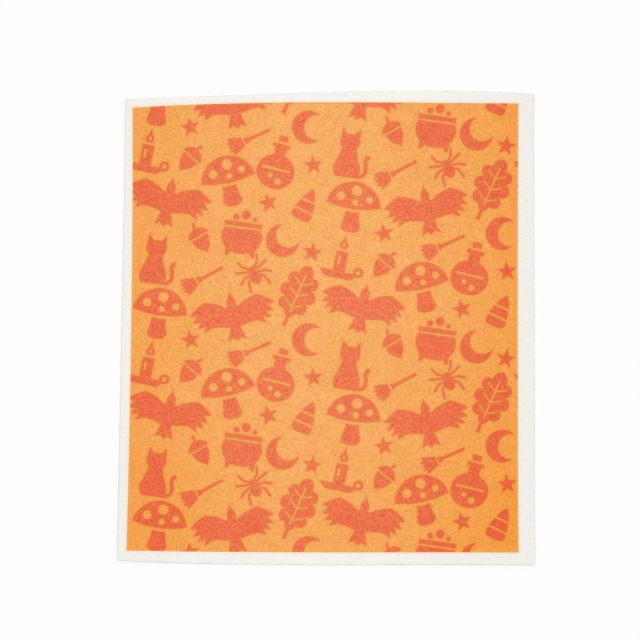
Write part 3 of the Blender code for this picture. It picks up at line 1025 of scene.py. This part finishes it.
class Bench:
    """The node tree of a material or of the world, with short calls for the nodes it needs."""

    NOISE_ROUGHNESS = 0.55
    SPECULAR = 0.25
    CELL_HEIGHT: Ramp = (0, 0.5, 0, 0.6)
    FINE_HEIGHT: Ramp = (0.3, 0.7, 0, 0.4)
    BUMP_STRENGTH = 0.8

    def __init__(self, owner: bpy.types.Material | bpy.types.World) -> None:
        """Opens the node tree of a new material or world.

        Args:
            owner: The material or world.
        """
        owner.use_nodes = True
        self.owner = owner
        self.nodes = owner.node_tree.nodes

    @cached_property
    def places(self) -> Socket:
        """Where each point lies on its own object."""
        return self.node("TexCoord", "Object")

    def feed(self, socket: Socket, value: object) -> None:
        """Gives an input what it takes.

        Args:
            socket: The input.
            value: Another node's output, a number or a colour.
        """
        if isinstance(value, Socket):
            self.owner.node_tree.links.new(value, socket)
        elif isinstance(value, tuple) and socket.type == "RGBA":
            socket.default_value = (*value, 1)
        else:
            socket.default_value = value

    def node(
        self, kind: str, output: str, inputs: dict[str | int, object] | None = None, **settings: str
    ) -> Socket:
        """Adds a node.

        Args:
            kind: Its kind, as Blender names it.
            output: The output that is asked for.
            inputs: What its inputs are fed with.
            settings: Its other settings.

        Returns:
            The output.
        """
        node = self.nodes.new(f"ShaderNode{kind}")
        for name, value in settings.items():
            setattr(node, name, value)
        for name, value in (inputs or {}).items():
            self.feed(node.inputs[name], value)
        return node.outputs[output]

    def blend(self, share: object, first: object, second: object, mode: str = "MIX") -> Socket:
        """Mixes a share of the second colour into the first, in one of Blender's ways."""
        inputs = {"Factor": share, "A": first, "B": second}
        return self.node("Mix", "Result", inputs, data_type="RGBA", blend_type=mode)

    def ramp(self, value: object, start: float, end: float, low: float, high: float) -> Socket:
        """Turns the range from start to end into that from low to high, and keeps within it."""
        names = ("Value", "From Min", "From Max", "To Min", "To Max")
        return self.node("MapRange", "Result", dict(zip(names, (value, start, end, low, high))))

    def join(self, first: object, second: object, operation: str = "ADD") -> Socket:
        """Joins two numbers by one of Blender's operations."""
        return self.node("Math", "Value", {0: first, 1: second}, operation=operation)

    def distance(self, name: str) -> Socket:
        """The distance, in millimetres, that the mesh holds under a name."""
        return self.node("Attribute", "Fac", attribute_name=name)

    def grain(self, size: float, detail: float = 2.0, stretch: Colour = (1, 1, 1)) -> Socket:
        """Makes a soft noise.

        Args:
            size: How far apart its grains are, in millimetres.
            detail: How much finer grain it holds.
            stretch: How much closer the grains are along each axis.

        Returns:
            The noise, about 0.5 on average.
        """
        places = self.node("Mapping", "Vector", {"Vector": self.places, "Scale": stretch})
        grains = {"Scale": 1 / (size * MILLIMETRE), "Detail": detail}
        grains["Roughness"] = self.NOISE_ROUGHNESS
        return self.node("TexNoise", "Fac", {"Vector": places, **grains})

    def cells(self, size: float, across: bool = False) -> Socket:
        """Makes the cells of a sponge.

        Args:
            size: How far apart the cells are, in millimetres.
            across: Whether the cells stand upright through the whole cloth.

        Returns:
            The distance from the middle of the nearest cell, as a share of size.
        """
        inputs = {"Vector": self.places, "Scale": 1 / (size * MILLIMETRE)}
        dimensions = "2D" if across else "3D"
        return self.node("TexVoronoi", "Distance", inputs, voronoi_dimensions=dimensions)

    def away_from_painted_sheen(self, drift_size: float) -> Socket:
        """Measures how far a place is from the spot of the painted sheen, with a soft drift.

        Args:
            drift_size: How far apart the swells of the drift are, in millimetres.

        Returns:
            0 in that spot, about 1 at the sides and 1.7 in the lower right corner.
        """
        squares = []
        for axis, middle, reach in zip("XY", PAINTED_SHEEN_SPOT, PAINTED_SHEEN_REACH):
            away = self.join(self.node("SeparateXYZ", axis, {0: self.places}), middle, "SUBTRACT")
            share = self.join(away, reach, "DIVIDE")
            squares.append(self.join(share, share, "MULTIPLY"))
        return self.join(self.join(*squares), self.ramp(self.grain(drift_size), *DRIFT))

    def surface(self, finish: Sponge | Ink, colour: object, fine: object, pores: object) -> None:
        """Feeds the shader with a matt, porous surface.

        Args:
            finish: The finish, for its roughness, its sheen and the depth of its pores.
            colour: Its colour.
            fine: The noise of its fine grain.
            pores: The cells of its pores.
        """
        height = self.join(self.ramp(pores, *self.CELL_HEIGHT), self.ramp(fine, *self.FINE_HEIGHT))
        bump = {"Distance": finish.pore_depth * MILLIMETRE, "Strength": self.BUMP_STRENGTH}
        looks = {
            "Base Color": colour,
            "Roughness": self.ramp(fine, *finish.roughness),
            "Specular IOR Level": self.SPECULAR,
            "Sheen Weight": finish.sheen,
            "Normal": self.node("Bump", "Normal", {"Height": height, **bump}),
        }
        for name, value in looks.items():
            self.feed(self.nodes["Principled BSDF"].inputs[name], value)


@dataclass(frozen=True)
class Sponge:
    """Bare cellulose sponge: off-white and porous, with painted shade in its pores and a painted
    sheen that is palest at one spot and shades outward.
    """

    name: str
    # Colours: at the spot of the painted sheen, of the painted shade outward and of the ribs, of
    # the painted shade in the pores, and of the ink's tint near the print
    pale: Colour
    shaded_and_ribbed: Colour
    pore_shadow: Colour
    fringe: Colour
    pore_size: float
    pore_share: float
    pore_depth: float
    roughness: Ramp = (0.3, 0.7, 0.82, 0.95)
    sheen: float = 0.05

    def material(self) -> bpy.types.Material:
        """Builds the finish.

        Returns:
            The material.
        """
        bench = Bench(bpy.data.materials.new(self.name))
        # Painted sheen and shade: pale at the sheen's spot, shading towards the sides and the lower
        # right corner
        tone = bench.ramp(bench.away_from_painted_sheen(SPONGE_DRIFT), *SPONGE_PAINTED_SHADE)
        colour = bench.blend(tone, self.pale, self.shaded_and_ribbed)
        ribs = bench.ramp(bench.grain(RIB_SIZE, SMOOTH, RIB_STRETCH), *RIBS)
        colour = bench.blend(ribs, colour, self.shaded_and_ribbed)
        fine = bench.grain(SPONGE_GRAIN)
        openness = bench.ramp(fine, *OPEN)
        wide, narrow = bench.cells(self.pore_size), bench.cells(self.pore_size * NARROW)
        # Painted shade in the pores: the deeper and more open a pore, the more of the pore's shadow
        # colour
        for pores, depth in zip((wide, narrow), PORE_DEPTHS):
            shade_depth = bench.join(bench.ramp(pores, 0, PORE_EDGE, depth, 0), openness, "MULTIPLY")
            shade = bench.ramp(shade_depth, *PORE_SHADE, 0, self.pore_share)
            colour = bench.blend(shade, colour, self.pore_shadow)
        near = bench.ramp(bench.distance("field_edge"), *FRINGE)
        colour = bench.blend(near, colour, self.fringe)
        bench.surface(self, colour, fine, wide)
        return bench.owner


@dataclass(frozen=True)
class Stain:
    """How an ink changes towards an edge of the print: its colour there, and how far in."""

    edge: str
    colour: Colour
    start: float
    end: float
    share: float

    def lay(self, bench: Bench, colour: object) -> Socket:
        """Lays the stain over a colour and gives the stained colour."""
        near = bench.ramp(bench.distance(self.edge), self.start, self.end, self.share, 0)
        return bench.blend(near, colour, self.colour)


@dataclass(frozen=True)
class Ink:
    """Water-based ink on cellulose sponge: matt, thin, broken up by the pores, with a painted sheen
    that is palest at one spot and painted shade outward.
    """

    name: str
    # The ink's colour at the spot of the painted sheen
    palest: Colour
    # Lighter specks on the high points and darker ones in the pits of the fine relief: the ink's
    # random grain together with painted highlight and painted shade
    speck: Colour
    pit: Colour
    dot: Colour
    thin: Colour
    ruddy: Colour
    sallow: Colour
    # The tint of the painted shade that darkens the ink away from the painted sheen
    painted_shade_tint: Colour
    halo: Stain
    fading: Stain
    grain_share: float
    pore_size: float = 1.1
    pore_depth: float = 0.16
    roughness: Ramp = (0.3, 0.7, 0.72, 0.9)
    sheen: float = 0.03

    def material(self) -> bpy.types.Material:
        """Builds the finish.

        Returns:
            The material.
        """
        bench = Bench(bpy.data.materials.new(self.name))
        colour: object = self.palest
        for size in THIN_SIZES:
            colour = bench.blend(bench.ramp(bench.grain(size, SMOOTH), *THIN), colour, self.thin)
        mottle, fine = bench.grain(MOTTLE_SIZE), bench.grain(FINE_SIZE, FINE_DETAIL)
        parts = ((mottle, MOTTLE_PART), (fine, FINE_PART))
        grain = bench.join(*(bench.join(layer, part, "MULTIPLY") for layer, part in parts))
        # The grain: random tone of the ink, and painted light on the fine relief's high points and
        # painted shade in its pits
        for tone, reach in ((self.speck, GRAIN_REACH), (self.pit, -GRAIN_REACH)):
            share = bench.ramp(grain, GRAIN_MIDDLE, GRAIN_MIDDLE + reach, 0, self.grain_share)
            colour = bench.blend(share, colour, tone)
        dots = bench.ramp(bench.cells(DOT_SIZE), *DOT_EDGE)
        dots = bench.join(dots, bench.ramp(mottle, *DOT_SHARE), "MULTIPLY")
        colour = self.halo.lay(bench, bench.blend(dots, colour, self.dot))
        for tint, sizes in ((self.ruddy, RUDDY_SIZES), (self.sallow, SALLOW_SIZES)):
            for size in sizes:
                patch = bench.ramp(bench.grain(size, SMOOTH), *PATCH)
                colour = bench.blend(patch, colour, tint, "MULTIPLY")
        # Painted shade: the ink darkens and deepens in colour away from the painted sheen
        shade_depth = bench.ramp(bench.away_from_painted_sheen(INK_DRIFT), *INK_PAINTED_SHADE)
        colour = self.fading.lay(bench, bench.blend(shade_depth, colour, self.painted_shade_tint, "MULTIPLY"))
        fleck = bench.ramp(bench.cells(FLECK_APART, across=True), *FLECK_EDGE)
        colour = bench.blend(fleck, colour, FLECK)
        bench.surface(self, colour, fine, bench.cells(self.pore_size))
        return bench.owner


FINISHES: dict[Face, Sponge | Ink] = {
    Face.BORDER: Sponge(
        "bare_border",
        pale=(0.948, 0.914, 0.878),
        shaded_and_ribbed=(0.903, 0.868, 0.834),
        pore_shadow=(0.790, 0.745, 0.685),
        fringe=(0.985, 0.805, 0.580),
        pore_size=1.3,
        pore_share=0.6,
        pore_depth=0.14,
    ),
    Face.GROUND: Ink(
        "ground_ink",
        palest=(0.995, 0.432, 0.148),
        speck=(1.000, 0.548, 0.212),
        pit=(0.760, 0.324, 0.084),
        dot=(0.980, 0.610, 0.300),
        thin=(0.880, 0.440, 0.085),
        ruddy=(1.000, 0.948, 0.975),
        sallow=(0.992, 1.040, 0.970),
        painted_shade_tint=(0.960, 0.770, 0.360),
        halo=Stain("figure_edge", (0.990, 0.330, 0.140), 0.05, 0.95, 0.75),
        fading=Stain("field_edge", (0.780, 0.420, 0.165), 0.10, 1.15, 1.0),
        grain_share=0.74,
    ),
    Face.FIGURE: Ink(
        "figure_ink",
        palest=(0.923, 0.198, 0.083),
        speck=(1.000, 0.290, 0.160),
        pit=(0.640, 0.117, 0.032),
        dot=(0.960, 0.370, 0.230),
        thin=(0.850, 0.172, 0.074),
        ruddy=(1.000, 0.925, 0.985),
        sallow=(0.985, 1.055, 0.955),
        painted_shade_tint=(0.937, 0.590, 0.480),
        halo=Stain("figure_edge", (0.790, 0.250, 0.055), 0.05, 0.95, 1.0),
        fading=Stain("field_edge", (0.800, 0.260, 0.100), 0.10, 0.60, 0.8),
        grain_share=0.82,
    ),
    Face.CUT_EDGE: Sponge(
        "cut_edge",
        pale=(0.905, 0.870, 0.825),
        shaded_and_ribbed=(0.850, 0.812, 0.760),
        pore_shadow=(0.640, 0.590, 0.520),
        fringe=(0.905, 0.870, 0.825),
        pore_size=0.7,
        pore_share=0.8,
        pore_depth=0.20,
    ),
    Face.UNDERSIDE: Sponge(
        "underside",
        pale=(0.930, 0.895, 0.850),
        shaded_and_ribbed=(0.870, 0.832, 0.785),
        pore_shadow=(0.620, 0.570, 0.500),
        fringe=(0.930, 0.895, 0.850),
        pore_size=1.7,
        pore_share=0.8,
        pore_depth=0.26,
    ),
}


# The table, the light and the camera


@dataclass(frozen=True)
class Studio:
    """A white table under a soft even light."""

    table_reach: float = 3.0
    table_colour: Colour = (0.95, 0.95, 0.95)
    table_glow: float = 0.99
    glow_share: float = 0.80
    sky: float = 0.50
    backdrop: float = 0.985
    lamp: float = 1.57
    lamp_spread: float = math.radians(70)
    lamp_tilt: tuple[float, float] = (math.radians(-14), math.radians(5))

    def seen(self, bench: Bench) -> Socket:
        """Finds the rays that show a background: from the camera, off gloss or through glass.

        Args:
            bench: The bench that asks.

        Returns:
            1 for such a ray and 0 for any other.
        """
        rays = ("Is Camera Ray", "Is Glossy Ray", "Is Transmission Ray")
        camera, gloss, glass = (bench.node("LightPath", ray) for ray in rays)
        return bench.join(bench.join(camera, gloss, "MAXIMUM"), glass, "MAXIMUM")

    def table(self) -> bpy.types.Object:
        """Lays the table under the cloth.

        Returns:
            The table.
        """
        reach = self.table_reach
        data = bpy.data.meshes.new("table")
        square = [(-reach, -reach, 0), (reach, -reach, 0), (reach, reach, 0), (-reach, reach, 0)]
        data.from_pydata(square, [], [(0, 1, 2, 3)])
        table = bpy.data.objects.new("table", data)
        bpy.context.scene.collection.objects.link(table)
        bench = Bench(bpy.data.materials.new("table_white"))
        bench.nodes.remove(bench.nodes["Principled BSDF"])
        matt = bench.node("BsdfDiffuse", "BSDF", {"Color": self.table_colour})
        glow = bench.node("Emission", "Emission", {"Strength": self.table_glow})
        share = bench.join(self.seen(bench), self.glow_share, "MULTIPLY")
        mix = bench.node("MixShader", "Shader", {0: share, 1: matt, 2: glow})
        bench.feed(bench.nodes["Material Output"].inputs["Surface"], mix)
        data.materials.append(bench.owner)
        return table

    def light(self) -> None:
        """Lights the table evenly from above and from all round."""
        bench = Bench(bpy.data.worlds.new("soft_sky"))
        sky = bench.nodes["Background"].inputs
        bench.feed(sky["Color"], (1, 1, 1))
        strength = bench.ramp(self.seen(bench), 0, 1, self.sky, self.backdrop)
        bench.feed(sky["Strength"], strength)
        bpy.context.scene.world = bench.owner
        lamp = bpy.data.lights.new("overhead_softbox", "SUN")
        lamp.energy = self.lamp
        lamp.angle = self.lamp_spread
        holder = bpy.data.objects.new("overhead_softbox", lamp)
        holder.rotation_euler = (*self.lamp_tilt, 0)
        bpy.context.scene.collection.objects.link(holder)


@dataclass(frozen=True)
class TopView:
    """A camera that looks straight down at the cloth."""

    focal_length: float = 120.0
    sensor: float = 36.0
    view_width: float = 0.27083
    middle: tuple[float, float] = (-0.00259, 0.00335)
    face_height: float = 0.0018

    def place(self) -> bpy.types.Object:
        """Sets up the camera.

        Returns:
            The camera.
        """
        data = bpy.data.cameras.new("top_view")
        data.lens = self.focal_length
        data.sensor_width = self.sensor
        camera = bpy.data.objects.new("top_view", data)
        away = self.view_width * self.focal_length / self.sensor
        camera.location = (*self.middle, self.face_height + away)
        bpy.context.scene.collection.objects.link(camera)
        bpy.context.scene.camera = camera
        return camera


def main() -> None:
    """Builds the scene: the camera, the studio and the cloth."""
    logging.basicConfig(level=logging.INFO, format="%(message)s")
    bpy.context.scene.view_settings.view_transform = "Standard"
    camera = TopView().place()
    LOG.info("%s: %.3f m above the table", camera.name, camera.location.z)
    studio = Studio()
    table = studio.table()
    studio.light()
    LOG.info("%s: laid and lit", table.name)
    finishes = [FINISHES[face].material() for face in Face]
    PrintedCloth().build(finishes)


if __name__ == "__main__":
    main()
